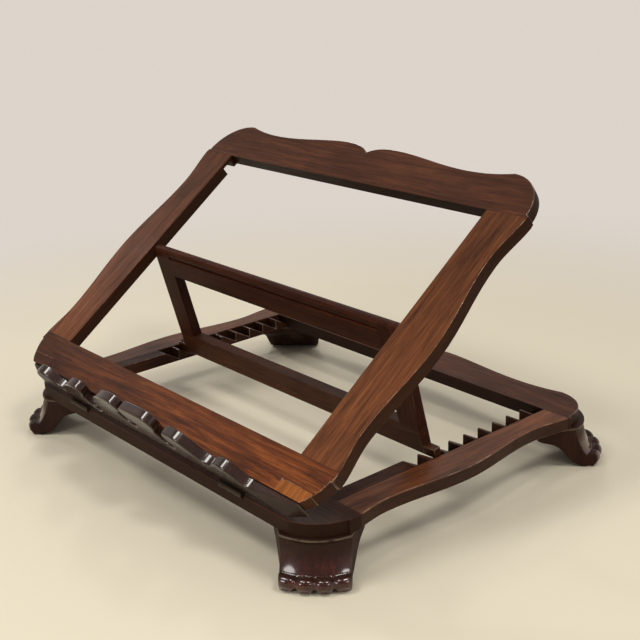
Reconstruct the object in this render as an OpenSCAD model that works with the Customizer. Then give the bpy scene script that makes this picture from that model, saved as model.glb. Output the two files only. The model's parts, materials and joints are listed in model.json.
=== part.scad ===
// Folding tabletop lectern: a book frame with a scalloped ledge is hinged to a footed base frame
// and held at its slope by a strut whose foot stands between two toothed racks.

/* [Frames] */
// Thickness of the boards of both frames, mm
board_t = 12.2; // [9:0.1:18]
// Width of the opening between the side members, mm
open_w = 360; // [240:1:520]
// Height of the opening of the book frame, mm
book_open = 262.8; // [200:0.1:360]
// Width of the book frame's bottom rail behind the ledge, mm
bottom_rail_w = 34.8; // [26:0.1:50]
// Width of the base frame's front rail, mm
base_front_w = 48.3; // [40:0.1:60]
// Depth of the opening of the base frame, mm
base_open = 256.6; // [200:0.1:350]
// Slope of the book frame as it stands, degrees
tilt = 36.4; // [30:0.1:42]

/* [Shaped outline] */
// Width of a side member at its front corner, mm
side_front_w = 45; // [38:0.1:60]
// Width of a side member at its front hollow, mm
hollow_w = 39.4; // [30:0.1:55]
// Width of a side member at its bulge, mm
bulge_w = 47; // [36:0.1:60]
// Width of a side member at its back hollow, mm
waist_w = 37; // [30:0.1:55]
// Width of a side member at its back corner, mm
side_back_w = 43.2; // [36:0.1:60]
// Step where the side curve meets a rounded corner, mm
corner_step = 2.2; // [0.8:0.1:4]
// Radius of the rounded front corners, mm
front_corner_r = 43.5; // [30:0.1:50]
// Radius of the rounded back corners, mm
back_corner_r = 40.6; // [30:0.1:44]
// Rise of the back edge from its low point to the two lobes, mm
crest_rise = 8.4; // [3:0.1:16]
// Depth of the cusp between the two lobes, mm
cusp_depth = 8.8; // [3:0.1:16]
// Rise from the low point to the tip at each back corner, mm
tip_rise = 6; // [2:0.1:12]
// Width of the back rails at their low point, mm
back_rail_w = 37.2; // [28:0.1:50]

/* [Ledge] */
// Thickness of the ledge board, mm
ledge_t = 9.4; // [6:0.1:14]
// Drop of the ledge below the face of the book frame, mm
ledge_drop = 19.2; // [15:0.1:30]
// Distance of the ledge behind the hinge axis when the frame is closed, mm
ledge_setback = 2.5; // [2:0.1:6]
// Depth below the frame's face to which the plain parts of the ledge reach, mm
ledge_floor = 7.2; // [3:0.1:10]
// Length of the cross-grained corner pieces of the bottom rail, mm
patch_l = 36; // [20:0.5:40]
// Width of the cross-grained corner pieces, mm
patch_w = 10.8; // [6:0.1:16]

/* [Strut] */
// Thickness of the strut, mm
strut_t = 10.2; // [7:0.1:12]
// Gap between the strut and the side members, each side, mm
strut_gap = 0.6; // [0.3:0.1:3]
// Distance from the front of the book frame to the strut's pivot, mm
pivot_s = 177.4; // [150:0.1:190]
// Depth of the pivot below the face of the book frame, mm
pivot_drop = 7; // [6:0.1:8]
// Length of the strut from its pivot to the middle of its foot, mm
strut_l = 119.2; // [110:0.1:124]
// Width of the strut's legs, mm
leg_w = 25; // [15:0.5:40]
// Depth of the strut's top rail below the pivot, mm
strut_top_w = 25.2; // [15:0.1:40]
// Width of the strut's foot rail, mm
strut_foot_w = 25.3; // [16:0.1:40]
// Diameter of the pivot pins, mm
pin_d = 5; // [3:0.1:7]
// Depth of the pivot pin's hole in each member, mm
pin_depth = 14; // [8:0.5:20]
// Size of the end lugs that seat in the racks, along the strut, mm
lug_h = 9; // [6:0.1:12]
// Thickness of the end lugs, mm
lug_t = 7.6; // [5:0.1:9]
// Length of the end lugs, mm
lug_l = 13; // [8:0.5:14]

/* [Racks] */
// Width of the rack strips let into the base's side members, mm
rack_w = 15.6; // [14:0.1:20]
// Distance from one tooth to the next, mm
pitch = 19.2; // [14:0.1:26]
// Depth of the notches, mm
notch_depth = 9.8; // [6:0.1:10.5]
// Width of the flat at a tooth's tip, mm
tip_flat = 1.8; // [0.6:0.1:4]

/* [Feet] */
// Height of the feet under the base frame, mm
foot_h = 39.4; // [34:0.1:54]
// Radius of a foot's lip under the frame, about the middle of its corner, mm
foot_top_r = 46.4; // [44:0.1:50]
// Radius of the scooped face at its narrowest, mm
instep_r = 45.2; // [40:0.1:46]
// Half width of a foot's front, mm
foot_w = 28.2; // [24:0.1:32]
// Half width of a foot under the middle of its corner, mm
foot_back_w = 38; // [32:0.1:41]
// Reach of the middles of the toes, mm
toe_arc = 58.4; // [56:0.1:62]
// Radius of the roll of the toes, mm
toe_r = 5.4; // [4.8:0.1:6]
// Height of the toes, mm
toe_h = 13.4; // [12:0.1:16]
// Radius of a toe seen from above, mm
toe_lobe = 9.5; // [8.5:0.1:12]
// Angle between neighbouring toes, degrees
toe_step = 14.7; // [13:0.1:16]

/* [Hinges] */
// Length of a hinge, mm
hinge_l = 31; // [20:0.5:50]
// Distance of a hinge's middle from the middle of the lectern, mm
hinge_x = 121; // [60:0.5:150]
// Number of knuckles
knuckles = 5; // [3:2:7]
// Outer radius of the knuckles, mm
knuckle_r = 2.6; // [2:0.1:4]
// Radius of the hinge pin, mm
hinge_pin_r = 1.2; // [0.8:0.1:1.8]
// Thickness of a hinge leaf, mm
leaf_t = 1.2; // [0.8:0.1:2]
// Reach of a leaf from the hinge axis, mm
leaf_w = 10; // [8:0.1:11]
// Diameter of the hinge screws, mm
screw_d = 2.4; // [1.6:0.1:3]
// Length of the hinge screws under the leaf, mm
screw_l = 7; // [5:0.5:9]
// Number of screws in a leaf
screws = 2; // [2:1:3]

/* [Hidden] */
// Closed book frame stays this far off the base
close_gap = 0.3;
// Clearance of a running pin, and of a pin or screw in wood
run_c = 0.05;
hold_c = 0.02;
// Side gap between neighbouring knuckles
knuckle_gap = 0.2;
// Room round a lug in its recess
lug_room = 1.2;
// Depth of the strut's end below the base frame's top, and its room before the tooth that holds it
lug_dip = 2.8;
seat_room = 0.15;
// Room of the wood round a knuckle
knuckle_room = 0.4;

half_open = open_w / 2;
outline_reach = half_open + 2 * bulge_w;
wave = open_w / 360;
crest_n = 33.8 * wave;
book_front = ledge_t + bottom_rail_w;
book_back = book_front + book_open;
base_back = base_front_w + base_open;
low_s = book_back + back_rail_w;
lobe_s = low_s + crest_rise;
cusp_s = lobe_s - cusp_depth;
tip_s = low_s + tip_rise;
front_c = front_corner_r - 1.7;
back_c = tip_s - back_corner_r;
side_s0 = front_c - 6.6;
side_s1 = back_c + 0.6;
side_span = side_s1 - side_s0;

base_top = foot_h + board_t;
axis_z = base_top + close_gap / 2;
face_z = base_top + close_gap + ledge_drop;
lobe_arc = toe_arc + toe_r - toe_lobe;
foot_reach = lobe_arc * cos(45 - 1.5 * toe_step) + toe_lobe;
front_reach = (face_z - axis_z + crest_n) * sin(tilt) - ledge_setback * cos(tilt);
base_y = (front_reach - back_c - foot_reach) / 2;
pivot_n = -pivot_drop;
strut_half = half_open - strut_gap;
strut_r = strut_t / 2;
strut_end = strut_l + lug_h / 2;
pivot_up = ledge_drop + close_gap / 2 - pivot_drop;
pivot_y = (pivot_s + ledge_setback) * cos(tilt) - pivot_up * sin(tilt);
pivot_z = (pivot_s + ledge_setback) * sin(tilt) + pivot_up * cos(tilt) + close_gap / 2;
lean = asin(min(0.995, (pivot_z + lug_dip) / strut_end));
strut_swing = tilt + lean;
seat = pivot_y + strut_end * cos(lean) + lug_t / 2 * sin(lean) + seat_room;
rack_plain = seat - base_front_w - 2 * pitch;
lug_n = -board_t + 0.3 + lug_t / 2;

wood = [0.33, 0.15, 0.09];
wood_light = [0.48, 0.24, 0.12];
brass = [0.45, 0.35, 0.2];

// Curves

function bez(a, b, c, d, t) =
    a * pow(1 - t, 3) + 3 * b * t * pow(1 - t, 2) + 3 * c * t * t * (1 - t) + d * pow(t, 3);

function curve(a, b, c, d, n = 8) = [for (i = [0:n]) bez(a, b, c, d, i / n)];

function ease(a, b, n = 8) =
    [for (i = [0:n - 1]) [a.x + (b.x - a.x) * (1 - cos(180 * i / n)) / 2, a.y + (b.y - a.y) * i / n]];

function arc(c, r, a0, a1, n = 12) =
    [for (i = [0:n]) [c.x + r * cos(a0 + (a1 - a0) * i / n), c.y + r * sin(a0 + (a1 - a0) * i / n)]];

function flipped(p) = [for (i = [len(p) - 1:-1:0]) [-p[i].x, p[i].y]];

// Shared outline of both frames, s measured back from the front edge

front_mid = [half_open, front_c];
back_mid = [half_open + side_back_w - corner_step - back_corner_r, back_c];
front_a0 = -acos(sqrt(1 - pow(front_c / front_corner_r, 2)));
front_a1 = asin((side_s0 - front_c) / front_corner_r);

side_edge = concat(
    ease([half_open + side_front_w, side_s0], [half_open + hollow_w, side_s0 + 0.163 * side_span]),
    ease([half_open + hollow_w, side_s0 + 0.163 * side_span], [half_open + bulge_w, side_s0 + 0.483 * side_span]),
    ease([half_open + bulge_w, side_s0 + 0.483 * side_span], [half_open + waist_w, side_s0 + 0.824 * side_span]),
    ease([half_open + waist_w, side_s0 + 0.824 * side_span], [half_open + side_back_w, side_s1]),
    [[half_open + side_back_w, side_s1]]
);

tip_x = back_mid.x + 1;
low_x = 0.733 * half_open;
lobe_x = 0.187 * half_open;

crest = concat(
    curve([tip_x, tip_s], [tip_x - 13, tip_s - 0.55 * tip_rise], [low_x + 22, low_s], [low_x, low_s], 6),
    curve([low_x, low_s], [low_x - 36, low_s], [lobe_x + 29, lobe_s], [lobe_x, lobe_s], 8),
    curve([lobe_x, lobe_s], [0.54 * lobe_x, lobe_s], [0.2 * lobe_x, cusp_s + 0.7 * cusp_depth], [0, cusp_s], 6)
);

half_outline = concat(
    arc(front_mid, front_corner_r, front_a0, front_a1, 10),
    side_edge,
    arc(back_mid, back_corner_r, asin((side_s1 - back_c) / back_corner_r), 88, 12),
    crest
);

module outline() {
    polygon(concat(half_outline, flipped(half_outline)));
}

module strip(s0, s1, x0 = -outline_reach, x1 = outline_reach) {
    intersection() {
        outline();
        translate([x0, s0]) square([x1 - x0, s1 - s0]);
    }
}

// The strip on one side only, from x outward
module beside(side, s0, s1, x) {
    strip(s0, s1, side > 0 ? x : -outline_reach, side > 0 ? outline_reach : -x);
}

// Poses: parts of the book frame and the strut are drawn lying flat, face up at n = 0

module on_base() {
    translate([0, base_y, base_top - board_t]) children();
}

module on_book() {
    translate([0, base_y, axis_z])
        rotate([tilt, 0, 0])
            translate([0, ledge_setback, face_z - axis_z]) children();
}

module on_strut() {
    on_book()
        translate([0, pivot_s, pivot_n]) rotate([-strut_swing, 0, 0]) children();
}

module on_hinge(side) {
    translate([side * hinge_x, base_y, axis_z]) children();
}

// Hinges

knuckle_l = hinge_l / knuckles;

module knuckle_row(first, r = knuckle_r, gap = knuckle_gap / 2) {
    for (i = [first:2:knuckles - 1])
        translate([-hinge_l / 2 + i * knuckle_l + gap, 0, 0])
            rotate([0, 90, 0]) cylinder(r = r, h = knuckle_l - 2 * gap, $fn = 48);
}

module screw_places() {
    for (i = [0:screws - 1])
        translate([(i - (screws - 1) / 2) * hinge_l * 0.6 / (screws - 1), (knuckle_r + leaf_w) / 2, 0])
            children();
}

// A leaf lies on the plane z = 0, its knuckles round the axis, and its screws point down
module leaf(first, axis_up) {
    difference() {
        union() {
            translate([-hinge_l / 2, 0, 0]) cube([hinge_l, leaf_w, leaf_t]);
            translate([0, 0, axis_up]) knuckle_row(first);
        }
        translate([0, 0, axis_up]) knuckle_row(1 - first, knuckle_r + knuckle_gap, -knuckle_gap / 2);
        translate([-hinge_l, 0, axis_up]) rotate([0, 90, 0])
            cylinder(r = hinge_pin_r + run_c, h = 2 * hinge_l, $fn = 48);
        screw_places() translate([0, 0, -1]) cylinder(d = screw_d + 2 * run_c, h = leaf_t + 2, $fn = 32);
        screw_places() translate([0, 0, leaf_t - 0.9])
            cylinder(d1 = screw_d + 2 * run_c, d2 = screw_d + 2 * run_c + 2.2, h = 1.1, $fn = 32);
    }
}

module leaf_screws() {
    screw_places() {
        translate([0, 0, -screw_l]) cylinder(d = screw_d, h = screw_l + leaf_t - 0.8, $fn = 32);
        translate([0, 0, leaf_t - 0.9]) cylinder(d1 = screw_d, d2 = screw_d + 1.6, h = 0.8, $fn = 32);
    }
}

// Room that a leaf, its screws and the knuckles need in the wood under the leaf
module leaf_room(axis_up) {
    translate([-hinge_l / 2 - 0.1, -20, 0]) cube([hinge_l + 0.2, leaf_w + 20.1, leaf_t + 30]);
    translate([-hinge_l / 2 - 0.1, 0, axis_up]) rotate([0, 90, 0])
        cylinder(r = knuckle_r + knuckle_room, h = hinge_l + 0.2, $fn = 48);
    screw_places() translate([0, 0, -screw_l - 0.2])
        cylinder(d = screw_d + 2 * hold_c, h = screw_l + 1, $fn = 32);
}

module base_leaf_pose(side) {
    translate([side * hinge_x, base_y, base_top - leaf_t]) children();
}

module book_leaf_pose(side) {
    translate([side * hinge_x, -ledge_setback, -ledge_drop + leaf_t]) mirror([0, 0, 1]) children();
}

base_axis_up = axis_z - base_top + leaf_t;
book_axis_up = leaf_t + close_gap / 2;

// Base frame

module base_front_rail() color(wood) difference() {
    on_base() linear_extrude(board_t) strip(0, base_front_w);
    for (side = [-1, 1]) base_leaf_pose(side) leaf_room(base_axis_up);
}

module base_back_rail() color(wood)
    on_base() linear_extrude(board_t) strip(base_back, 2 * lobe_s);

module base_side(side) color(wood) on_base() linear_extrude(board_t)
    beside(side, base_front_w, base_back, half_open + rack_w);

// Ratchet: each notch slopes down to the back and ends at the upright face of the next tooth

function tooth(y, bottom) = [[y, bottom], [y, board_t], [y + tip_flat, board_t]];

module rack_profile() {
    floor_z = board_t - notch_depth;
    n = ceil((base_open - rack_plain) / pitch);
    intersection() {
        polygon(concat(
            [[0, 0], [0, board_t], [rack_plain, board_t]],
            [for (i = [1:n]) each tooth(rack_plain + i * pitch, floor_z)],
            [[rack_plain + n * pitch + tip_flat, 0]]
        ));
        square([base_open, board_t]);
    }
}

module rack(side) color(wood) on_base()
    translate([side > 0 ? half_open : -half_open - rack_w, base_front_w, 0])
        rotate([90, 0, 90]) linear_extrude(rack_w) rack_profile();

// Feet, drawn with the corner's middle at the origin and the toes toward +X. A foot is sawn to its
// plan and its side curve, its face is scooped round the corner, and the toes roll out of the scoop.

toe_mid = [toe_arc, toe_h - toe_r];
crease = toe_mid + toe_r * [cos(138), sin(138)];

module foot_turned() {
    rotate_extrude($fn = 96) polygon(concat(
        [[0, 0], [toe_arc + 1, 0]],
        arc(toe_mid, toe_r, -50, 138, 16),
        curve(crease, [crease.x - 1.6, 0.97 * toe_h], [instep_r + 2, 0.6 * foot_h],
              [instep_r, foot_h - 3.6], 10),
        [[foot_top_r, foot_h - 2.4], [foot_top_r, foot_h], [0, foot_h]]
    ));
}

module foot_side() {
    polygon(concat(
        curve([-3.5, foot_h], [-3, 0.79 * foot_h], [0, 0.71 * foot_h], [9, 0.66 * foot_h], 5),
        curve([9, 0.66 * foot_h], [22, 0.58 * foot_h], [25, 0.36 * foot_h], [31, 0.2 * foot_h], 7),
        curve([31, 0.2 * foot_h], [34, 0.08 * foot_h], [39, 0.01 * foot_h], [instep_r, 0], 5),
        [[100, 0], [100, foot_h]]
    ));
}

module foot_plan() {
    front = sqrt(pow(foot_top_r, 2) - pow(foot_w, 2));
    polygon([
        [-10, -foot_back_w], [0, -foot_back_w], [front, -foot_w], [100, -foot_w],
        [100, foot_w], [front, foot_w], [0, foot_back_w], [-10, foot_back_w]
    ]);
}

module toe_plan() {
    circle(r = lobe_arc, $fn = 96);
    for (i = [-1.5:1.5]) rotate(i * toe_step) translate([lobe_arc, 0]) circle(r = toe_lobe, $fn = 64);
}

module toe_grooves() {
    for (i = [-1:1]) rotate(i * toe_step)
        translate([crease.x, 0, 0.8 * toe_h]) rotate([45, 0, 0]) cube([20, 10, 10]);
}

module foot() {
    difference() {
        intersection() {
            foot_turned();
            translate([0, 60, 0]) rotate([90, 0, 0]) linear_extrude(120) foot_side();
            translate([0, 0, -1]) linear_extrude(foot_h + 2) foot_plan();
            translate([0, 0, -1]) linear_extrude(foot_h + 2) toe_plan();
        }
        toe_grooves();
    }
}

module foot_at(x_side, y_side) color(wood)
    translate([x_side * back_mid.x, base_y + (y_side < 0 ? front_c : back_c), 0])
        rotate([0, 0, atan2(y_side, x_side)]) foot();

// Book frame

module stile_cuts(side) {
    translate([side * half_open, pivot_s, pivot_n]) rotate([0, side * 90, 0])
        cylinder(d = pin_d + 2 * hold_c, h = pin_depth + 0.2, $fn = 48);
    translate([side > 0 ? half_open - 1 : -half_open - lug_l - lug_room + 1,
               pivot_s + strut_l - lug_h / 2 - lug_room, -board_t - 1])
        cube([lug_l + lug_room, lug_h + 2 * lug_room, lug_n + lug_t / 2 + board_t + 1 + 0.3]);
}

module book_stile(side) color(wood_light) on_book() difference() {
    translate([0, 0, -board_t]) linear_extrude(board_t)
        beside(side, book_front, book_back, half_open);
    stile_cuts(side);
}

module book_top_rail() color(wood)
    on_book() translate([0, 0, -board_t]) linear_extrude(board_t) strip(book_back, 2 * lobe_s);

module patch_area(side) {
    translate([side > 0 ? half_open : -half_open - patch_l, ledge_t]) square([patch_l, patch_w]);
}

module corner_piece(side) color(wood_light) on_book() translate([0, 0, -board_t])
    linear_extrude(board_t) intersection() {
        outline();
        patch_area(side);
    }

module book_bottom_rail() color(wood) on_book() translate([0, 0, -board_t])
    linear_extrude(board_t) difference() {
        strip(ledge_t, book_front);
        patch_area(-1);
        patch_area(1);
    }

// Ledge: a row of waves that climb to the middle. Three of them break: a breaker has its nose, the
// round cut under the nose, and the bulb of the next wave that reaches into the cut, each as a
// middle and a radius. The others are swells with a foot, a crest and an end.

breakers = [for (b = [
    [[-95, 11.9, 7.5], [-81, 2, 13.4], [-57.6, 4.8, 12]],
    [[-20, 23.9, 8.5], [-8, 15, 13.8], [1.2, 20.4, 10.4]],
    [[32.8, 23.5, 10.3], [49, 11, 12.3], [63, 15, 10.2]]
]) [for (c = b) [wave * [c.x, c.y], wave * c.z]]];
swells = [for (w = [
    [[-191, -3.6], [-170, 9.6], [-141, -7.2]],
    [[63, 25.2], [71, 25.2], [106, 2.6]],
    [[107, 2.6], [130, 15.6], [156, -1.8]]
]) wave * w];
first_foot = [-139 * wave, -ledge_floor];

function rise(foot, top) = let (span = top - foot)
    curve(foot, foot + [0.13 * span.x, 0.4 * span.y], [top.x - 0.38 * span.x, top.y], top);

function fall(top, end) = let (span = end.x - top.x)
    curve(top, [top.x + 0.42 * span, top.y], [top.x + 0.55 * span, end.y], end);

// Where two circles cross, on the side of the line from the first to the second
function meet(a, b, side) = let (
    d = norm(b[0] - a[0]),
    u = (b[0] - a[0]) / d,
    h = (d * d + a[1] * a[1] - b[1] * b[1]) / (2 * d),
    k = sqrt(a[1] * a[1] - h * h)
) a[0] + h * u + side * k * [-u.y, u.x];

// Bearing of p from c, as an angle of the turn that starts at low
function bearing(c, p, low) = let (t = atan2(p.y - c.y, p.x - c.x))
    t < low ? t + 360 : t >= low + 360 ? t - 360 : t;

function breaker(foot, nose, cut, bulb) = let (
    under = meet(nose, cut, -1),
    hook = meet(cut, bulb, -1)
) concat(
    rise(foot, nose[0] + [0, nose[1]]),
    arc(nose[0], nose[1], 80, bearing(nose[0], under, -270), 8),
    arc(cut[0], cut[1], bearing(cut[0], under, 90) + 6, bearing(cut[0], hook, 180), 10),
    arc(bulb[0], bulb[1], bearing(bulb[0], hook, 90) - 8, bulb_top, 6)
);

bulb_top = 122;
function crown(bulb) = bulb[0] + bulb[1] * [cos(bulb_top - 8), sin(bulb_top - 8)];

ledge_line = concat(
    [[-outline_reach, -ledge_drop], [-outline_reach, swells[0][0].y]],
    rise(swells[0][0], swells[0][1]),
    fall(swells[0][1], swells[0][2]),
    breaker(first_foot, breakers[0][0], breakers[0][1], breakers[0][2]),
    breaker(crown(breakers[0][2]), breakers[1][0], breakers[1][1], breakers[1][2]),
    breaker(crown(breakers[1][2]), breakers[2][0], breakers[2][1], breakers[2][2]),
    fall(swells[1][1], swells[1][2]),
    rise(swells[2][0], swells[2][1]),
    fall(swells[2][1], swells[2][2]),
    [[outline_reach, swells[2][2].y], [outline_reach, -ledge_drop]]
);

module ledge_profile() {
    polygon(ledge_line);
}

module book_ledge() color(wood) on_book() difference() {
    intersection() {
        translate([0, 0, -ledge_drop]) linear_extrude(ledge_drop + 2 * crest_n) outline();
        translate([0, ledge_t, 0]) rotate([90, 0, 0]) linear_extrude(ledge_t) ledge_profile();
    }
    for (side = [-1, 1]) book_leaf_pose(side) leaf_room(book_axis_up);
}

// Strut, drawn with its pivot axis at the origin and its foot toward +Y

module strut_top_edge(x0, x1) {
    translate([x0, 0, 0]) rotate([0, 90, 0]) cylinder(r = strut_r, h = x1 - x0, $fn = 64);
    translate([x0, 0, -strut_r]) cube([x1 - x0, strut_top_w, strut_t]);
}

module strut_top_rail() color(wood) on_strut()
    strut_top_edge(-strut_half + leg_w, strut_half - leg_w);

module strut_leg(side) color(wood) on_strut() difference() {
    union() {
        strut_top_edge(side > 0 ? strut_half - leg_w : -strut_half, side > 0 ? strut_half : -strut_half + leg_w);
        translate([side > 0 ? strut_half - leg_w : -strut_half, 0, -strut_r])
            cube([leg_w, strut_end - strut_foot_w, strut_t]);
    }
    translate([side * (half_open + 1), 0, 0]) rotate([0, -side * 90, 0])
        cylinder(d = pin_d + 2 * run_c, h = pin_depth + strut_gap + 1.2, $fn = 48);
}

// The foot rail ends beside the racks, so that it swings free of their teeth
module strut_foot_rail() color(wood) on_strut()
    translate([-strut_half, strut_end - strut_foot_w, -strut_r]) cube([2 * strut_half, strut_foot_w, strut_t]);

module pivot_pin(side) color(brass) on_book()
    translate([side * (half_open + pin_depth), pivot_s, pivot_n]) rotate([0, -side * 90, 0])
        cylinder(d = pin_d, h = 2 * pin_depth, $fn = 48);

// Hinge pieces in place

module hinge_base_leaf(side) color(brass) base_leaf_pose(side) leaf(0, base_axis_up);

module hinge_book_leaf(side) color(brass) on_book() book_leaf_pose(side) leaf(1, book_axis_up);

module hinge_pin(side) color(brass) on_hinge(side)
    translate([-hinge_l / 2, 0, 0]) rotate([0, 90, 0]) cylinder(r = hinge_pin_r, h = hinge_l, $fn = 48);

module hinge_base_screws() color(brass)
    for (side = [-1, 1]) base_leaf_pose(side) leaf_screws();

module hinge_book_screws() color(brass) on_book()
    for (side = [-1, 1]) book_leaf_pose(side) leaf_screws();

base_front_rail();
base_back_rail();
base_side(-1);  // base_side_left
base_side(1);  // base_side_right
rack(-1);  // rack_left
rack(1);  // rack_right
foot_at(-1, -1);  // foot_front_left
foot_at(1, -1);  // foot_front_right
foot_at(-1, 1);  // foot_back_left
foot_at(1, 1);  // foot_back_right
book_bottom_rail();
book_top_rail();
book_stile(-1);  // book_stile_left
book_stile(1);  // book_stile_right
book_ledge();
corner_piece(-1);  // corner_piece_left
corner_piece(1);  // corner_piece_right
strut_top_rail();
strut_leg(-1);  // strut_leg_left
strut_leg(1);  // strut_leg_right
strut_foot_rail();
pivot_pin(-1);  // pivot_pin_left
pivot_pin(1);  // pivot_pin_right
hinge_base_leaf(-1);  // hinge_base_leaf_left
hinge_base_leaf(1);  // hinge_base_leaf_right
hinge_book_leaf(-1);  // hinge_book_leaf_left
hinge_book_leaf(1);  // hinge_book_leaf_right
hinge_pin(-1);  // hinge_pin_left
hinge_pin(1);  // hinge_pin_right
hinge_base_screws();
hinge_book_screws();
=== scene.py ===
"""Dresses the packed model of a folding tabletop lectern: boards, ledge, feet, hinges and a stage"""

import json
from math import atan2, cos, degrees, hypot, pi, radians, sin, sqrt

import bmesh
import bpy
from bpy.props import FloatProperty, FloatVectorProperty, IntProperty, PointerProperty
from mathutils import Matrix, Vector


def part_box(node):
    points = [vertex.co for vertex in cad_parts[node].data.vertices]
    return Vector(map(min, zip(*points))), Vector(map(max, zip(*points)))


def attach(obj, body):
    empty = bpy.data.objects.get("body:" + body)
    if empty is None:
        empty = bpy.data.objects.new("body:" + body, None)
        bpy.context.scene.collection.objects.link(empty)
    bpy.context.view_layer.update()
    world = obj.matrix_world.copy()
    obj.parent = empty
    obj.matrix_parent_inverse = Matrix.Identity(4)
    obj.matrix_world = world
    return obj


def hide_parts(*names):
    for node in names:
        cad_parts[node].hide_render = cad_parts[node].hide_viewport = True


bl_info = {
    "name": "Tabletop Lectern",
    "version": (1, 0, 0),
    "blender": (4, 5, 0),
    "location": "View3D > Sidebar > Lectern",
    "description": "Builds the looks of a folding tabletop lectern around its packed frame",
    "category": "Object",
}

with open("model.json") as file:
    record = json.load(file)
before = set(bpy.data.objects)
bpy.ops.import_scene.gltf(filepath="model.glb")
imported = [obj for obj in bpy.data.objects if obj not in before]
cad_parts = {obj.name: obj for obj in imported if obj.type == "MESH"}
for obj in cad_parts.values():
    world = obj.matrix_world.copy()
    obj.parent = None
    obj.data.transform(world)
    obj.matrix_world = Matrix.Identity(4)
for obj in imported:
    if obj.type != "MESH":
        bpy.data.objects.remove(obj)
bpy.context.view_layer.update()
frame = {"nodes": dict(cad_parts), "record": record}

# Joints as the packed record gives them, and sizes that the solids have too

JOINTS = {joint["name"]: joint for joint in frame["record"]["behaviour"]["joints"]}
HINGE = Vector(JOINTS["book_tilt"]["pos_m"])
PIVOT = Vector(JOINTS["strut_fold"]["pos_m"])
TILT = -radians(JOINTS["book_tilt"]["range_deg"][0])
STRUT_TO_BOOK = radians(111.7)

BOARD_THICKNESS = 0.0122
HALF_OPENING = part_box("rack_right")[0].x
FOOT_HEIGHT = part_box("base_back_rail")[0].z
BOOK_SETBACK = 0.0025
BOOK_FACE_UP = 0.01935

# Own axes of the two frames and the strut: across, along and through their boards

BASE = Matrix.Translation((0, HINGE.y, FOOT_HEIGHT))
BOOK = (Matrix.Translation(HINGE) @ Matrix.Rotation(TILT, 4, "X")
        @ Matrix.Translation((0, BOOK_SETBACK, BOOK_FACE_UP)))
STRUT = Matrix.Translation(PIVOT) @ Matrix.Rotation(TILT - STRUT_TO_BOOK, 4, "X")
WORLD = Matrix.Identity(4)

SIDES = ((-1, "left"), (1, "right"))
BODY_OF = {node: body for body, nodes in frame["record"]["behaviour"]["bodies"].items() for node in nodes}

# Colours of each timber (its darkest streaks, its body and its bright figure), and other tones

TIMBERS = {
    "frame": ((0.014, 0.0044, 0.0020), (0.055, 0.0176, 0.0074), (0.122, 0.040, 0.0145)),
    "rail": ((0.019, 0.0048, 0.0016), (0.110, 0.0272, 0.0055), (0.300, 0.084, 0.0150)),
    "stile": ((0.027, 0.0085, 0.0032), (0.134, 0.0420, 0.0134), (0.265, 0.090, 0.027)),
    "side": ((0.021, 0.0068, 0.0028), (0.112, 0.0355, 0.0132), (0.220, 0.074, 0.024)),
    "ledge": ((0.008, 0.0028, 0.0018), (0.024, 0.0075, 0.0042), (0.055, 0.018, 0.010)),
    "corner": ((0.060, 0.0170, 0.0040), (0.260, 0.0780, 0.0135), (0.460, 0.160, 0.032)),
    "strut": ((0.010, 0.0025, 0.0011), (0.036, 0.0090, 0.0033), (0.076, 0.020, 0.0068)),
    "rack": ((0.010, 0.0034, 0.0020), (0.034, 0.0115, 0.0060), (0.080, 0.029, 0.014)),
    "foot": ((0.006, 0.0012, 0.0007), (0.038, 0.0052, 0.0020), (0.120, 0.018, 0.0055)),
}
# Pale colour of rounded edges: partly from long use, partly a painted highlight along the arrises
WORN_AND_LIT = (0.50, 0.33, 0.21)
SEAM = (0.006, 0.003, 0.002)
TARNISH = (0.045, 0.034, 0.024)


# Settings

def length(name, metres, low, high):
    return FloatProperty(name=name, description=name + ", in metres", default=metres, min=low, max=high,
                         subtype="DISTANCE", unit="LENGTH", precision=4)


def colour(name, rgb):
    return FloatVectorProperty(name=name, description="Colour: " + name.lower(), default=rgb, size=3,
                               min=0.0, max=1.0, subtype="COLOR")


class LecternSizes(bpy.types.PropertyGroup):
    """Sizes of what the scene adds to the packed solids"""
    arris: length("Rounding of the boards' edges", 0.0010, 0.0002, 0.003)
    worn_arris: length("Rounding of the book frame's handled edges", 0.0020, 0.0002, 0.003)
    ledge_arris: length("Rounding of the ledge's edges", 0.0018, 0.0002, 0.003)
    first_foot: length("Height at which the first breaker starts", -0.0072, -0.02, 0.0)
    leaf_bed: length("Depth of the hinge leaves' beds in the ledge", 0.0012, 0.0, 0.003)
    ribs: length("Distance between the right corner piece's dark lines", 0.0017, 0.0008, 0.004)
    tooth_arris: length("Rounding of the rack teeth", 0.0007, 0.0002, 0.0015)
    pitch: length("Distance from tooth to tooth", 0.0192, 0.014, 0.026)
    rack_plain: length("Plain length before the first notch", 0.086, 0.06, 0.12)
    notch_depth: length("Depth of the notches", 0.0098, 0.006, 0.0105)
    tip_flat: length("Flat on a tooth's tip", 0.0018, 0.0006, 0.004)
    lug_reach: length("Reach of the strut's lugs into the racks", 0.0122, 0.008, 0.014)
    lug_height: length("Size of a lug along the strut", 0.009, 0.006, 0.012)
    lug_thick: length("Thickness of a lug", 0.0076, 0.005, 0.009)
    lug_place: length("Distance from the pivot to a lug", 0.1192, 0.11, 0.124)
    bead: length("Radius of the bead along the strut's top", 0.0051, 0.003, 0.007)
    carving_voxel: length("Fineness of the carved feet", 0.0007, 0.0004, 0.002)
    screw_head: length("Radius of the hinge screws' heads", 0.0020, 0.001, 0.003)
    screw_depth: length("Depth of the hinge screws' heads", 0.0008, 0.0004, 0.002)
    screw_slot: length("Width of the hinge screws' slots", 0.0006, 0.0002, 0.001)
    floor_size: length("Half width of the floor", 30.0, 2.0, 60.0)
    teeth: IntProperty(name="Teeth", description="Number of teeth in a rack", default=9, min=3, max=14)


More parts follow.
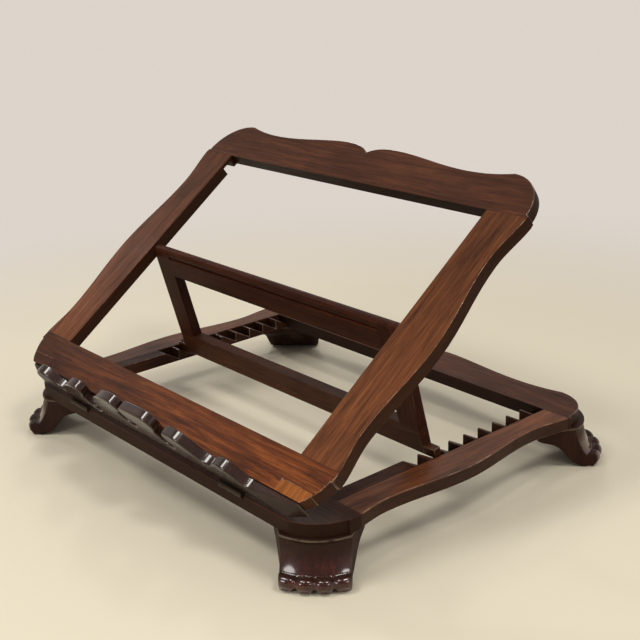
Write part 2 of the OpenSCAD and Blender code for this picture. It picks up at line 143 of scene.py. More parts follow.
LecternColours = type("LecternColours", (bpy.types.PropertyGroup,), {
    "__doc__": "Colours of the timbers, the metal and the stage",
    "__annotations__": {
        **{f"{timber}_{part}": colour(f"{timber.capitalize()}, {part}", rgb)
           for timber, shades in TIMBERS.items() for part, rgb in zip(("deep", "body", "bright"), shades)},
        # Pale edge colour: partly from use, partly a painted highlight
        "worn": colour("Worn edges", WORN_AND_LIT),
        # Painted highlight along the top edge of the feet's lips
        "wax": colour("Highlight along the feet's lips", (0.34, 0.27, 0.17)),
        # Colour of the painted shade on the sides below a board's top face
        "shade": colour("Sides below a polished face", (0.019, 0.0078, 0.0044)),
        # Darker, duller colour where the lacquer is not whole; high on the feet's scoop it is a painted dark
        # reflection
        "dull": colour("Sides of the feet and ends of the ledge", (0.018, 0.0082, 0.0048)),
        "metal": colour("Hinge metal", (0.060, 0.042, 0.026)),
        "floor": colour("Floor", (0.63, 0.575, 0.45)),
        "backdrop": colour("Far end of the floor", (0.72, 0.66, 0.60)),
    },
})


def sizes():
    return bpy.context.scene.lectern_sizes


def colours():
    return bpy.context.scene.lectern_colours


# Shader writing

class Wire:
    """A number that varies over a surface, as a socket that takes the usual operators"""

    def __init__(self, net, socket):
        self.net = net
        self.socket = socket

    def __add__(self, other):
        return self.net.maths("ADD", self, other)

    def __sub__(self, other):
        return self.net.maths("SUBTRACT", self, other)

    def __rsub__(self, other):
        return self.net.maths("SUBTRACT", other, self)

    def __mul__(self, other):
        return self.net.maths("MULTIPLY", self, other)

    def __truediv__(self, other):
        return self.net.maths("DIVIDE", self, other)

    def __abs__(self):
        return self.net.maths("ABSOLUTE", self)

    __radd__ = __add__
    __rmul__ = __mul__

    def between(self, low, high):
        """0 below low, 1 above high and smooth from one to the other"""
        return self.net.add("ShaderNodeMapRange", {"interpolation_type": "SMOOTHSTEP"}, "Result",
                            Value=self, **{"From Min": low, "From Max": high})


class Graph:
    """Writes the nodes of a tree"""

    def __init__(self, tree):
        self.tree = tree

    def add(self, kind, settings=None, out=None, **sockets):
        """Adds a node, with its settings first and then its sockets, and returns the socket named out"""
        node = self.tree.nodes.new(kind)
        for key, value in (settings or {}).items():
            if key == "stops":
                ramp = node.color_ramp
                while len(ramp.elements) < len(value):
                    ramp.elements.new(0.5)
                for element, (place, rgb) in zip(ramp.elements, value):
                    element.position = place
                    element.color = (*rgb, 1.0)
            else:
                setattr(node, key, value)
        for key, value in sockets.items():
            self.put(node.inputs[key.replace("_", " ")], value)
        if out is None:
            return node
        return Wire(self, node.outputs[out])

    def put(self, socket, value):
        if isinstance(value, Wire):
            self.tree.links.new(value.socket, socket)
        elif value is not None:
            if socket.type == "RGBA" and len(value) == 3:
                value = (*value, 1.0)
            socket.default_value = value

    def maths(self, operation, *values):
        node = self.add("ShaderNodeMath", {"operation": operation})
        for socket, value in zip(node.inputs, values):
            self.put(socket, value)
        return Wire(self, node.outputs[0])

    def vector(self, operation, a, b):
        node = self.add("ShaderNodeVectorMath", {"operation": operation})
        self.put(node.inputs[0], a)
        self.put(node.inputs[1], b)
        return Wire(self, node.outputs[0])

    def xyz(self, x=0.0, y=0.0, z=0.0):
        return self.add("ShaderNodeCombineXYZ", {}, "Vector", X=x, Y=y, Z=z)


class Net(Graph):
    """The nodes of one material"""

    def __init__(self, name):
        self.material = bpy.data.materials.new(name)
        self.material.use_nodes = True
        super().__init__(self.material.node_tree)
        self.tree.nodes.clear()

    def mix(self, factor, a, b):
        """Colour a where the factor is 0, and b where it is 1"""
        node = self.add("ShaderNodeMix", {"data_type": "RGBA"})
        self.put(node.inputs[0], factor)
        self.put(node.inputs[6], a)
        self.put(node.inputs[7], b)
        return Wire(self, node.outputs[2])

    def noise(self, where, scale, detail, rough=0.55):
        return self.add("ShaderNodeTexNoise", {}, "Fac", Vector=where, Scale=scale, Detail=detail,
                        Roughness=rough)

    def place(self, pose):
        """Object coordinates turned into those of a posed board: across, along and through it"""
        back = pose.inverted()
        here = self.add("ShaderNodeTexCoord", {}, "Object")
        return self.add("ShaderNodeMapping", {}, "Vector", Vector=here, Location=back.to_translation(),
                        Rotation=back.to_euler())

    def finish(self, **sockets):
        shader = self.add("ShaderNodeBsdfPrincipled", {}, "BSDF", **sockets)
        out = self.add("ShaderNodeOutputMaterial", {})
        self.put(out.inputs["Surface"], shader)
        return self.material


class Growth(Graph):
    """A Geometry Nodes tree with named inputs"""

    def __init__(self, name, **inputs):
        super().__init__(bpy.data.node_groups.new(name, "GeometryNodeTree"))
        face = self.tree.interface
        face.new_socket("Geometry", in_out="OUTPUT", socket_type="NodeSocketGeometry")
        face.new_socket("Geometry", in_out="INPUT", socket_type="NodeSocketGeometry")
        for label, kind in inputs.items():
            face.new_socket(label, in_out="INPUT", socket_type="NodeSocket" + kind)
        source = self.tree.nodes.new("NodeGroupInput")
        self.inputs = {socket.name: Wire(self, socket) for socket in source.outputs}

    def cube(self, x, y, z, at):
        """A block of the given sizes with its middle at a place"""
        block = self.add("GeometryNodeMeshCube", {}, "Mesh", Size=self.xyz(x, y, z))
        return self.add("GeometryNodeTransform", {}, "Geometry", Geometry=block, Translation=at)

    def cut(self, body, tools):
        node = self.add("GeometryNodeMeshBoolean", {"operation": "DIFFERENCE", "solver": "EXACT"}, None,
                        Mesh_1=body, Mesh_2=tools)
        return Wire(self, node.outputs["Mesh"])

    def finish(self, geometry):
        real = self.add("GeometryNodeRealizeInstances", {}, "Geometry", Geometry=geometry)
        done = self.add("GeometryNodeSetMaterial", {}, "Geometry", Geometry=real,
                        Material=self.inputs["Material"])
        out = self.tree.nodes.new("NodeGroupOutput")
        self.put(out.inputs["Geometry"], done)
        return self

    def grow(self, points, pose, **values):
        """What the tree makes from points and from the values of its inputs, moved to a pose"""
        mesh = bpy.data.meshes.new(self.tree.name)
        mesh.from_pydata([tuple(point) for point in points], [], [])
        obj = bpy.data.objects.new(self.tree.name, mesh)
        bpy.context.collection.objects.link(obj)
        modifier = obj.modifiers.new("growth", "NODES")
        modifier.node_group = self.tree
        for item in self.tree.interface.items_tree:
            if item.in_out == "INPUT" and item.name in values:
                modifier[item.identifier] = values[item.name]
        settle(obj)
        made = obj.data
        bpy.data.objects.remove(obj)
        made.transform(pose)
        bm = bmesh.new()
        bm.from_mesh(made)
        bpy.data.meshes.remove(made)
        return bm


AXES = {"x": 0, "y": 1, "z": 2}


def drawn_out(net, where, grain, squeeze, offset):
    """Squeezes coordinates along the grain, so that a pattern on them is drawn out along it"""
    factors = [1.0, 1.0, 1.0]
    factors[AXES[grain]] = squeeze
    return net.vector("MULTIPLY", net.vector("ADD", where, offset), factors)


def timber(name, kind, pose, grain, gloss, figure, seams, stain, seed, top=None, lip=None, polish=None,
           fade=None, ribs=None, worn=0.35):
    """Polished timber: streaks and pores along the grain, dark patina in patches, bright rubbed edges.
    Seams are dark lines, each an axis of the board and a place on it. Below a face at top the sides are
    darker, lip is the height of a pale, worn edge, and polish names the attribute that says where the
    lacquer is whole. Fade is an axis, the place where the darkening along it is full, the place where
    it ends, and its share. Ribs is the distance between dark lines across the board, and worn is how
    bare the edges are."""
    net = Net(name)
    palette = colours()
    deep, body, bright = (tuple(getattr(palette, f"{kind}_{part}")) for part in ("deep", "body", "bright"))
    where = net.place(pose)
    offset = (1.3 * seed, 0.7 * seed, 0.31 * seed)
    sway = net.noise(drawn_out(net, where, grain, 0.12, offset), 16.0, 2.0)
    lean = [0.0, 0.0, 0.0]
    lean[0 if grain != "x" else 1] = 0.016
    bent = net.vector("ADD", where, net.vector("MULTIPLY", net.xyz(sway, sway, sway), lean))
    bands = net.noise(drawn_out(net, bent, grain, 0.06, offset), 190.0, 5.0, 0.62)
    fibre = net.noise(drawn_out(net, bent, grain, 0.04, offset), 520.0, 4.0, 0.75)
    flame = net.noise(drawn_out(net, where, grain, 0.35, offset), 36.0, 3.0, 0.6)
    pores = net.noise(drawn_out(net, bent, grain, 0.05, offset), 950.0, 2.0, 0.6).between(0.56, 0.70)
    patina = net.noise(where, 13.0, 3.0, 0.6).between(0.38, 0.72)
    tone = (bands - 0.5) * (1.25 * figure) + (fibre - 0.5) * 1.25 + (flame - 0.5) * 0.45 + 0.47
    base = net.add("ShaderNodeValToRGB", {"stops": ((0.0, deep), (0.46, body), (1.0, bright))}, "Color",
                   Fac=tone)
    base = net.mix(pores * 0.55, base, deep)
    base = net.mix(patina * stain, base, deep)
    parts = net.add("ShaderNodeSeparateXYZ", {}, Vector=where)
    up = Wire(net, parts.outputs["Z"])
    if ribs:
        swing = net.maths("SINE", Wire(net, parts.outputs["X"]) * (2 * pi / ribs) + sway * 9.0)
        base = net.mix(swing.between(0.0, 1.0) * 0.6, base, deep)
    if top is not None:
        # Painted shade: the sides below the top face are darkened towards the shade colour
        base = net.mix((top - up).between(0.0003, 0.0011) * 0.85, base, tuple(palette.shade))
    if fade:
        axis, full, none, share = fade
        base = net.mix(Wire(net, parts.outputs[AXES[axis]]).between(none, full) * share, base,
                       tuple(0.5 * part for part in deep))
    seam = None
    for axis, at in seams:
        gap = abs(Wire(net, parts.outputs[AXES[axis]]) - at)
        line = 1.0 - gap.between(0.00008, 0.00026)
        seam = line if seam is None else net.maths("MAXIMUM", seam, line)
    wear_and_light_mask = net.add("ShaderNodeAttribute", {"attribute_name": "wear"}, "Fac")
    patchy = net.noise(where, 55.0, 4.0, 0.7)
    # Pale edge colour: partly from use, partly a painted highlight on the arrises and painted light on the
    # feet's backs
    wear = wear_and_light_mask * (patchy.between(0.44, 0.66) * worn + 0.04)
    base = net.mix(wear, base, tuple(palette.worn))
    if lip is not None:
        # Painted highlight: a pale, patchy line along the lip's edge
        edge = (1.0 - abs(up - lip).between(0.0004, 0.0011)) * patchy.between(0.36, 0.52)
        base = net.mix(edge * 0.8, base, tuple(palette.wax))
    if seam is not None:
        base = net.mix(seam * 0.5, base, SEAM)
    height = fibre * 0.5 - pores * 0.9
    if seam is not None:
        height = height - seam * 2.0
    bump = net.add("ShaderNodeBump", {}, "Normal", Strength=0.35, Distance=0.00008, Height=height)
    smudge = net.noise(where, 34.0, 4.0, 0.65)
    rough = (0.58 - 0.3 * gloss) + (smudge - 0.5) * 0.2 + pores * 0.10 + fibre * 0.05
    lacquer = max(0.0, 2.0 * gloss - 0.9)
    coat = wear_and_light_mask * (0.9 * (1.0 - lacquer)) + lacquer
    rough = rough - wear_and_light_mask * (0.2 * (1.0 - lacquer))
    if polish:
        whole = net.add("ShaderNodeAttribute", {"attribute_name": polish}, "Fac")
        coat = whole * lacquer
        rough = rough + (1.0 - whole) * 0.22
        # Darker and duller where the lacquer is not whole; high on the feet's scoop this is a painted dark
        # reflection
        base = net.mix((1.0 - whole) * 0.75, base, tuple(palette.dull))
    return net.finish(Base_Color=base, Roughness=rough, Normal=bump, Coat_Weight=coat, Coat_Roughness=0.12,
                      IOR=1.48, Specular_IOR_Level=0.03 + 0.11 * gloss)


def old_brass():
    """Dull brass, brown in its hollows"""
    net = Net("old_brass")
    where = net.place(WORLD)
    cloud = net.noise(where, 160.0, 4.0, 0.65)
    base = net.mix(cloud.between(0.4, 0.68), tuple(colours().metal), TARNISH)
    bump = net.add("ShaderNodeBump", {}, "Normal", Strength=0.3, Distance=0.0001, Height=cloud)
    return net.finish(Base_Color=base, Metallic=0.85, Roughness=cloud * 0.4 + 0.3, Normal=bump)


# Meshes

HAIR = 1e-5
EASED = 0.0006


def smooth_step(low, high, value):
    t = max(0.0, min(1.0, (value - low) / (high - low)))
    return t * t * (3 - 2 * t)


def take(node):
    """A copy of a CAD node's mesh with its triangles joined and its flat faces whole"""
    bm = bmesh.new()
    bm.from_mesh(frame["nodes"][node].data)
    bmesh.ops.remove_doubles(bm, verts=bm.verts, dist=0.2 * HAIR)
    bmesh.ops.dissolve_limit(bm, angle_limit=radians(0.5), verts=bm.verts, edges=bm.edges)
    return bm


def soften(bm, width, joints=(), segments=3, sharp=26.0):
    """Rounds the sharp edges, apart from those in a joint's plane, and marks the rounding as worn"""
    wear = bm.verts.layers.float.get("wear") or bm.verts.layers.float.new("wear")

    def in_joint(edge):
        return any(all(abs((v.co - point).dot(normal)) < 2 * HAIR for v in edge.verts)
                   for point, normal in joints)

    edges = [e for e in bm.edges
             if len(e.link_faces) == 2 and e.calc_face_angle(0.0) > radians(sharp) and not in_joint(e)]
    made = bmesh.ops.bevel(bm, geom=edges, offset=width, segments=segments, profile=0.5, affect="EDGES",
                           clamp_overlap=True, offset_type="OFFSET")
    rounded = set(made["faces"])
    for vert in {v for face in rounded for v in face.verts}:
        if all(face in rounded for face in vert.link_faces):
            vert[wear] = 1.0
    return bm


def object_from(bm, name, material, smooth=32.0):
    """A finished object: smooth but for its hard edges, and flat faces kept flat beside the rounding"""
    bmesh.ops.recalc_face_normals(bm, faces=bm.faces)
    mesh = bpy.data.meshes.new(name)
    bm.to_mesh(mesh)
    bm.free()
    mesh.materials.append(material)
    obj = bpy.data.objects.new(name, mesh)
    bpy.context.collection.objects.link(obj)
    mesh.shade_smooth()
    mesh.set_sharp_from_angle(angle=radians(smooth))
    even = obj.modifiers.new("even_normals", "WEIGHTED_NORMAL")
    even.keep_sharp = True
    settle(obj)
    return obj


def settle(obj):
    """Applies an object's modifiers"""
    graph = bpy.context.evaluated_depsgraph_get()
    graph.update()
    evaluated = obj.evaluated_get(graph)
    mesh = bpy.data.meshes.new_from_object(evaluated, preserve_all_data_layers=True, depsgraph=graph)
    mesh.name = obj.name
    old = obj.data
    obj.modifiers.clear()
    obj.data = mesh
    bpy.data.meshes.remove(old)


def stand_for(obj, node):
    """The object shows in place of the node, moves with its body and has the finish of the slot"""
    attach(obj, BODY_OF[node])
    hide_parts(node)


def plane_in(pose, axis, at):
    """A joint's plane, given by the place where it cuts one of a posed board's axes"""
    point = Vector((0, 0, 0))
    normal = Vector((0, 0, 0))
    point[AXES[axis]] = at
    normal[AXES[axis]] = 1.0
    return pose @ point, (pose.to_3x3() @ normal).normalized()


def local_box(node, pose):
    """Lowest and highest corner of a node in a posed board's own axes"""
    back = pose.inverted()
    points = [back @ v.co for v in frame["nodes"][node].data.vertices]
    return (Vector([min(p[i] for p in points) for i in range(3)]),
            Vector([max(p[i] for p in points) for i in range(3)]))


def board(node, pose, material, joints, width=None):
    """A CAD board with its free edges rounded, and those in its joints left sharp"""
    planes = [plane_in(pose, axis, at) for axis, at in joints]
    bm = soften(take(node), width or sizes().arris, planes)
    stand_for(object_from(bm, node + "_board", material), node)


# Base frame

class LECTERN_OT_base_frame(bpy.types.Operator):
    """Rails and sides of the base frame, with rounded edges"""
    bl_idname = "lectern.base_frame"
    bl_label = "Base frame"

    def execute(self, context):
        front = local_box("base_front_rail", BASE)[1].y
        back = local_box("base_back_rail", BASE)[0].y
        seams = (("y", front), ("y", back))
        edge = local_box("rack_right", BASE)[1].x
        # Darker towards the right corner: partly the corner's darker finish, partly painted shade
        wood = timber("base_front_wood", "frame", BASE, "x", 0.45, 0.9, seams, 0.6, 1.0, BOARD_THICKNESS,
                      fade=("x", 0.225, 0.170, 0.3))
        board("base_front_rail", BASE, wood, seams[:1])
        wood = timber("base_back_wood", "frame", BASE, "x", 0.45, 0.8, seams, 0.3, 2.0, BOARD_THICKNESS)
        board("base_back_rail", BASE, wood, seams[1:])
        for side, name in SIDES:
            wood = timber(f"base_side_{name}_wood", "side", BASE, "y", 0.5, 1.1, seams, 0.25, 3.0 + side,
                          BOARD_THICKNESS)
            board("base_side_" + name, BASE, wood, (*seams, ("x", side * edge)))
        return {"FINISHED"}


# Racks

def rack_tree():
    """A strip along Y from the origin, with notches that slope down to the upright face of the next tooth"""
    grow = Growth("rack_notches", Width="Float", Length="Float", Thickness="Float", First="Float",
                  Pitch="Float", Depth="Float", Tip="Float", Notches="Int", Material="Material")
    width, length_, thick, first, pitch, depth, tip = (
        grow.inputs[name] for name in ("Width", "Length", "Thickness", "First", "Pitch", "Depth", "Tip"))
    strip = grow.cube(width, length_, thick, grow.xyz(0.0, length_ * 0.5, thick * 0.5))
    run = pitch - tip
    spare = 0.002
    block = grow.cube(width + spare, run, depth + spare, grow.xyz(0.0, run * -0.5, (spare - depth) * 0.5))
    here = grow.add("GeometryNodeInputPosition", {}, "Position")
    parts = grow.add("ShaderNodeSeparateXYZ", {}, Vector=here)
    back, up = Wire(grow, parts.outputs["Y"]), Wire(grow, parts.outputs["Z"])
    lift = depth * (back / run * -1.0) * ((spare - up) / (depth + spare))
    wedge = grow.add("GeometryNodeSetPosition", {}, "Geometry", Geometry=block,
                     Offset=grow.xyz(0.0, 0.0, lift))
    row = grow.add("GeometryNodeMeshLine", {"mode": "OFFSET"}, "Mesh", Count=grow.inputs["Notches"],
                   Start_Location=grow.xyz(0.0, first + pitch, thick), Offset=grow.xyz(0.0, pitch, 0.0))
    wedges = grow.add("GeometryNodeInstanceOnPoints", {}, "Instances", Points=row, Instance=wedge)
    tools = grow.add("GeometryNodeRealizeInstances", {}, "Geometry", Geometry=wedges)
    return grow.finish(grow.cut(strip, tools))


class LECTERN_OT_racks(bpy.types.Operator):
    """Toothed strips that the strut's foot stands in"""
    bl_idname = "lectern.racks"
    bl_label = "Racks"

    def execute(self, context):
        s = sizes()
        tree = rack_tree()
        for side, name in SIDES:
            low, high = local_box("rack_" + name, BASE)
            outer = side * max(abs(low.x), abs(high.x))
            wood = timber(f"rack_{name}_wood", "rack", BASE, "y", 0.4, 0.8, (("x", outer),), 0.3, 7.0 + side)
            pose = BASE @ Matrix.Translation(((low.x + high.x) / 2, low.y, low.z))
            bm = tree.grow([(0, 0, 0)], pose, Width=high.x - low.x, Length=high.y - low.y,
                           Thickness=high.z - low.z, First=s.rack_plain, Pitch=s.pitch, Depth=s.notch_depth,
                           Tip=s.tip_flat, Notches=s.teeth, Material=wood)
            planes = [plane_in(BASE, axis, at) for axis, at in (("y", low.y), ("y", high.y), ("x", outer))]
            obj = object_from(soften(bm, s.tooth_arris, planes), f"rack_{name}_strip", wood)
            stand_for(obj, "rack_" + name)
        return {"FINISHED"}


# Book frame

class LECTERN_OT_book_frame(bpy.types.Operator):
    """Rails, stiles and corner pieces of the book frame, with rounded edges"""
    bl_idname = "lectern.book_frame"
    bl_label = "Book frame"

    def execute(self, context):
        s = sizes()
        low, high = local_box("book_bottom_rail", BOOK)
        top = local_box("book_top_rail", BOOK)[0].y
        seams = (("y", high.y), ("y", top))
        ledge = ("y", low.y)
        edges = (seams[0], ledge)
        darker_left = ("x", -0.24, 0.12, 0.62)
        darker_up = ("y", top, high.y, 0.42)
        face = 0.0
        wood = timber("bottom_rail_wood", "rail", BOOK, "x", 0.5, 1.2, edges, 0.3, 11.0, face,
                      fade=darker_left, worn=0.6)
        board("book_bottom_rail", BOOK, wood, edges, s.worn_arris)
        wood = timber("top_rail_wood", "frame", BOOK, "x", 0.45, 0.8, seams[1:], 0.3, 12.0, face)
        board("book_top_rail", BOOK, wood, seams[1:])
        for side, name in SIDES:
            # The right stile's edges take more of the pale colour: a painted highlight along its arris
            kind, worn = ("stile", 0.8) if side > 0 else ("side", 0.35)
            wood = timber(f"stile_{name}_wood", kind, BOOK, "y", 0.45, 1.0, seams, 0.3, 14.0 + side, face,
                          fade=darker_up, worn=worn)
            board("book_stile_" + name, BOOK, wood, seams, s.worn_arris)
            inner, outer = local_box("corner_piece_" + name, BOOK)
            near = min(abs(inner.x), abs(outer.x))
            edges = (("x", side * near), ("y", outer.y), ledge)
            if side > 0:
                # The right corner piece's edges take the most pale colour: a painted highlight along its
                # arris
                wood = timber("corner_right_wood", "corner", BOOK, "y", 0.5, 0.9, edges, 0.2, 18.0, face,
                              ribs=s.ribs, worn=0.9)
            else:
                wood = timber("corner_left_wood", "rail", BOOK, "x", 0.5, 1.2, (), 0.3, 11.0, face,
                              fade=darker_left)
            board("corner_piece_" + name, BOOK, wood, edges, s.worn_arris)
        return {"FINISHED"}


# Waves of the ledge

BREAKERS = (((-95, 11.9, 7.5), (-81, 2, 13.4), (-57.6, 4.8, 12)),
            ((-20, 23.9, 8.5), (-8, 15, 13.8), (1.2, 20.4, 10.4)),
            ((32.8, 23.5, 10.3), (49, 11, 12.3), (63, 15, 10.2)))
LAST_FALL = ((71, 25.2), (106, 2.6))
FIRST_SWELL = ((-191, -3.6), (-170, 9.6), (-141, -7.2))
LAST_SWELL = ((107, 2.6), (130, 15.6), (156, -1.8))
FIRST_FOOT = -139
NOSE_START = 80
BULB_END = 122


def bezier(a, b, c, d, steps=26):
    """Points of a curve from a to d with the handles b and c"""
    points = []
    for i in range(steps + 1):
        t = i / steps
        points.append(a * (1 - t) ** 3 + 3 * b * t * (1 - t) ** 2 + 3 * c * t * t * (1 - t) + d * t ** 3)
    return points


def turn(circle, start, end, steps):
    """Points of an arc from one angle to another, in degrees"""
    x, y, r = circle
    angles = [radians(start + (end - start) * i / steps) for i in range(steps + 1)]
    return [Vector((x + r * cos(a), y + r * sin(a))) for a in angles]


def rise(foot, top):
    """A wave's back, steep at its foot and level at its top"""
    foot, top = Vector(foot), Vector(top)
    span = top - foot
    steep = foot + Vector((0.13 * span.x, 0.4 * span.y))
    level = Vector((top.x - 0.38 * span.x, top.y))
    return bezier(foot, steep, level, top)


def fall(top, end):
    """The front of a wave that doesn't break, level at its top and at its end"""
    top, end = Vector(top), Vector(end)
    span = end.x - top.x
    return bezier(top, Vector((top.x + 0.42 * span, top.y)), Vector((top.x + 0.55 * span, end.y)), end)


def crossing(a, b):
    """Where two circles cross, to the right of the way from one middle to the other"""
    start, end = Vector(a[:2]), Vector(b[:2])
    gap = (end - start).length
    along = (end - start) / gap
    near = (gap * gap + a[2] ** 2 - b[2] ** 2) / (2 * gap)
    off = sqrt(a[2] ** 2 - near * near)
    return start + along * near + Vector((along.y, -along.x)) * off


def bearing(circle, point, low):
    """The angle of a point about a circle's middle, within the turn that starts at low"""
    angle = degrees(atan2(point.y - circle[1], point.x - circle[0]))
    return low + (angle - low) % 360.0


def breaker(foot, nose, cut, bulb):
    """A wave that breaks: its back, round its nose, through the cut under that and round the next wave's
    bulb. Nose, cut and bulb are circles, each the place of its middle along and up, and its radius."""
    under, hook = crossing(nose, cut), crossing(cut, bulb)
    return (rise(foot, (nose[0], nose[1] + nose[2]))
            + turn(nose, NOSE_START, bearing(nose, under, -270), 22)
            + turn(cut, bearing(cut, under, 90) + 6, bearing(cut, hook, 180), 22)
            + turn(bulb, bearing(bulb, hook, 90) - 8, BULB_END, 16))


def crown(bulb):
    """The point on a bulb where the next wave's back starts"""
    return turn(bulb, BULB_END - 8, BULB_END - 8, 1)[0]


def swell(foot, crest, end):
    return rise(foot, crest) + fall(crest, end)


def wave_line(first_foot):
    """The ledge's upper edge from left to right, in 360ths of the frame's opening"""
    line = swell(*FIRST_SWELL)
    foot = first_foot
    for waves in BREAKERS:
        line += breaker(foot, *waves)
        foot = crown(waves[2])
    return line + fall(*LAST_FALL) + swell(*LAST_SWELL)


def thinned(line, gap):
    """Leaves out the points of a closed line that lie closer than gap to the one before"""
    kept = []
    for point in line:
        if not kept or (point - kept[-1]).length > gap:
            kept.append(point)
    return kept[:-1] if (kept[-1] - kept[0]).length < gap else kept


def inset(line, depth):
    """A closed line, drawn anticlockwise, moved in by a depth"""
    moved = []
    for i, point in enumerate(line):
        before = (point - line[i - 1]).normalized()
        after = (line[(i + 1) % len(line)] - point).normalized()
        inward = Vector((-before.y - after.y, before.x + after.x))
        if inward.length < 0.5:
            moved.append(point.copy())
            continue
        inward.normalize()
        reach = max(0.5, inward.dot(Vector((-before.y, before.x))))
        moved.append(point + inward * (depth / reach))
    return moved


def ledge_outline(low, high, leaf, first_foot, bed):
    """The ledge seen from the front, anticlockwise: its underside with the beds of the hinge leaves, and
    the waves above"""
    unit = HALF_OPENING * 2 / 360
    end = high.x - EASED
    top = [point * unit for point in wave_line((FIRST_FOOT, first_foot / unit))]
    top = [Vector((max(-end, min(end, point.x)), point.y)) for point in top]
    line = [Vector((-end, top[0].y)), *top, Vector((end, top[-1].y))]
    play, closest = 0.0001, 0.00025
    near, far = leaf[0].x - play, leaf[1].x + play
    floor = low.z
    half = [(0.0, floor), (near * 0.5, floor), (near, floor), (near, floor + bed), (far, floor + bed),
            (far, floor)]
    half += [(far + (end - far) * i / 12, floor) for i in range(1, 13)]
    below = [Vector((-x, z)) for x, z in reversed(half[1:])] + [Vector(place) for place in half]
    return thinned([*below, *reversed(line)], closest)


def ledge_fronts(low, high, straight):
    """Places of the ledge's front face, as pairs of the distance from the middle and the depth: level as
    far as straight, and then as the frame's round corner goes"""
    front = {straight: low.y, high.x: high.y}
    back = BOOK.inverted()
    for vert in frame["nodes"]["book_ledge"].data.vertices:
        place = back @ vert.co
        if abs(place.x) > straight and place.y < high.y - HAIR:
            front[abs(place.x)] = place.y
    return sorted(front.items())


def front_at(fronts, x):
    """The front face's place at x"""
    x = min(abs(x), fronts[-1][0])
    upper = next(i for i, front in enumerate(fronts) if front[0] >= x)
    if upper == 0:
        return fronts[0][1]
    (a, start), (b, end) = fronts[upper - 1], fronts[upper]
    return start + (end - start) * (x - a) / (b - a)


def carved_ledge(line, fronts, back, arris):
    """The ledge's mesh: its outline with a rounded edge in front and an eased one behind"""
    least_flat = 0.0009
    ahead = back - (arris + least_flat)
    bm = bmesh.new()
    loops = []
    for turned in (radians(22.5 * k) for k in range(5)):
        depth = arris * (1 - cos(turned))
        loops.append([bm.verts.new(BOOK @ Vector((p.x, min(front_at(fronts, p.x), ahead) + depth, p.y)))
                      for p in inset(line, arris * (1 - sin(turned)))])
    for points, depth in ((line, EASED), (inset(line, EASED), 0.0)):
        loops.append([bm.verts.new(BOOK @ Vector((p.x, back - depth, p.y))) for p in points])
    for a, b in zip(loops, loops[1:]):
        for i in range(len(a)):
            j = (i + 1) % len(a)
            bm.faces.new((a[i], a[j], b[j], b[i]))
    bm.faces.new(loops[0])
    bm.faces.new(list(reversed(loops[-1])))
    bm.normal_update()
    bmesh.ops.triangulate(bm, faces=[f for f in bm.faces if len(f.verts) > 4])
    return bm


class LECTERN_OT_ledge(bpy.types.Operator):
    """Ledge with its row of waves, drawn finely and with rounded edges"""
    bl_idname = "lectern.ledge"
    bl_label = "Ledge"

    def execute(self, context):
        s = sizes()
        low, high = local_box("book_ledge", BOOK)
        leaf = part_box("hinge_book_leaf_right")
        wood = timber("ledge_wood_polished", "ledge", BOOK, "x", 0.95, 0.8, (), 0.35, 20.0, polish="polish")
        line = ledge_outline(low, high, leaf, s.first_foot, s.leaf_bed)
        straight = leaf[1].x + 0.01
        fronts = ledge_fronts(low, high, straight)
        obj = object_from(carved_ledge(line, fronts, high.y, s.ledge_arris), "book_ledge_carved", wood, 40.0)
        shine = obj.data.attributes.new("polish", "FLOAT", "POINT")
        turned = BOOK.inverted().to_3x3()
        for vert in obj.data.vertices:
            ahead = smooth_step(0.55, 0.9, -(turned @ vert.normal).y)
            aside = smooth_step(0.13, 0.16, abs(vert.co.x))
            shine.data[vert.index].value = 1 - ahead * (0.15 + 0.7 * aside)
        stand_for(obj, "book_ledge")
        return {"FINISHED"}


# Strut

def beaded(rail, bead):
    """The strut's top rail as one moulding: a bead round the pivot, a quirk on each side and the flats"""
    low, high = rail
    half = (high.z - low.z) / 2
    middle = (high.z + low.z) / 2
    line = [(bead * cos(radians(a)), bead * sin(radians(a))) for a in range(40, 321, 8)]
    lower = [(bead * 0.90, -half * 0.58), (bead * 0.98, -half * 0.90), (bead * 1.08, -half),
             (high.y - EASED, -half), (high.y, EASED - half)]
    line += lower + [(y, -z) for y, z in reversed(lower)]
    bm = bmesh.new()
    ends = [[bm.verts.new(STRUT @ Vector((x, y, z + middle))) for y, z in line] for x in (low.x, high.x)]
    for i in range(len(line)):
        j = (i + 1) % len(line)
        bm.faces.new((ends[0][i], ends[0][j], ends[1][j], ends[1][i]))
    for end in ends:
        bm.faces.new(end)
    return bm


